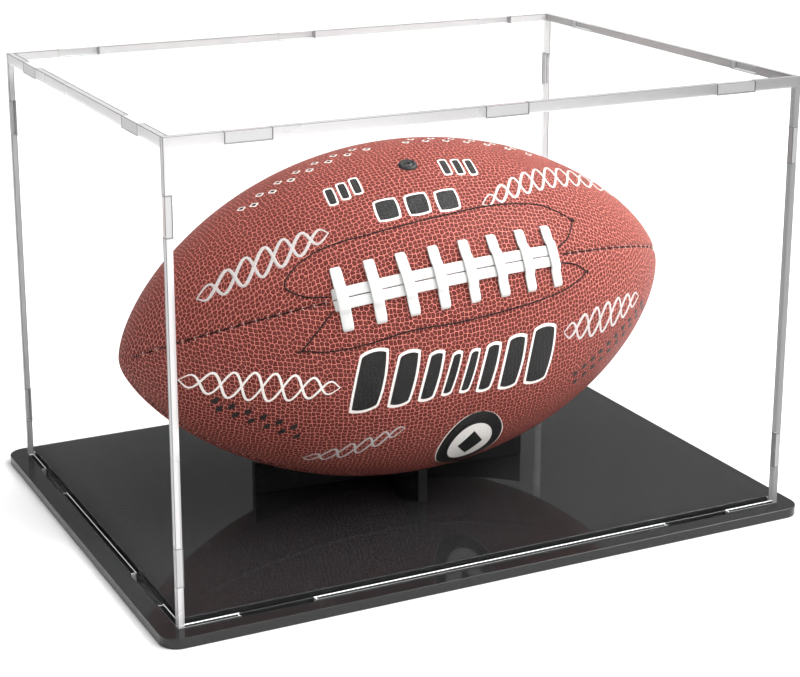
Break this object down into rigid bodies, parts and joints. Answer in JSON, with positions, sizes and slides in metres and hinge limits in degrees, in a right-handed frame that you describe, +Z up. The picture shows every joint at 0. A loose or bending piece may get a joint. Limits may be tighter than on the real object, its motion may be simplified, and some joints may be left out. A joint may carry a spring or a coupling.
{
  "type": "football display case",
  "caption": "Clear lift-off display cover on a black base, with a crossed-plate cradle that holds a laced leather football.",
  "frame": {"origin": "centre of the base plate's underside, where the case stands on its shelf", "axes": "+X right along the case's length, -Y towards the front, +Z up"},
  "size_m": [0.334, 0.249, 0.2197],
  "materials": {
    "clear_acrylic": "clear polished sheet",
    "black_acrylic": "polished black sheet",
    "cradle_acrylic": "polished black sheet with laser-cut edges",
    "football_leather": "pebbled, deep reddish brown",
    "black_rubber": "smooth moulded",
    "lace_vinyl": "white vinyl-coated lace"
  },
  "bodies": {
    "base": {"base_plate": "black_acrylic", "plinth_plate": "black_acrylic"},
    "cover": {"cover_front": "clear_acrylic", "cover_back": "clear_acrylic", "cover_left": "clear_acrylic", "cover_right": "clear_acrylic", "cover_top": "clear_acrylic"},
    "cradle": {"cradle_long_plate": "cradle_acrylic", "cradle_cross_plate": "cradle_acrylic"},
    "football": {"football_panel_front": "football_leather", "football_panel_top": "football_leather", "football_panel_back": "football_leather", "football_panel_bottom": "football_leather", "football_bladder": "black_rubber", "football_valve": "black_rubber", "football_lace_rows": "lace_vinyl", "football_cross_laces": "lace_vinyl"}
  },
  "joints": [
    {"name": "cover_lift", "type": "slide", "parent": "base", "child": "cover", "axis": [0, 0, 1], "range_m": [0, 0.19]},
    {"name": "cradle_lift", "type": "slide", "parent": "base", "child": "cradle", "axis": [0, 0, 1], "range_m": [0, 0.008]},
    {"name": "football_lift", "type": "slide", "parent": "cradle", "child": "football", "axis": [0, 0, 1], "range_m": [0, 0.022]}
  ]
}
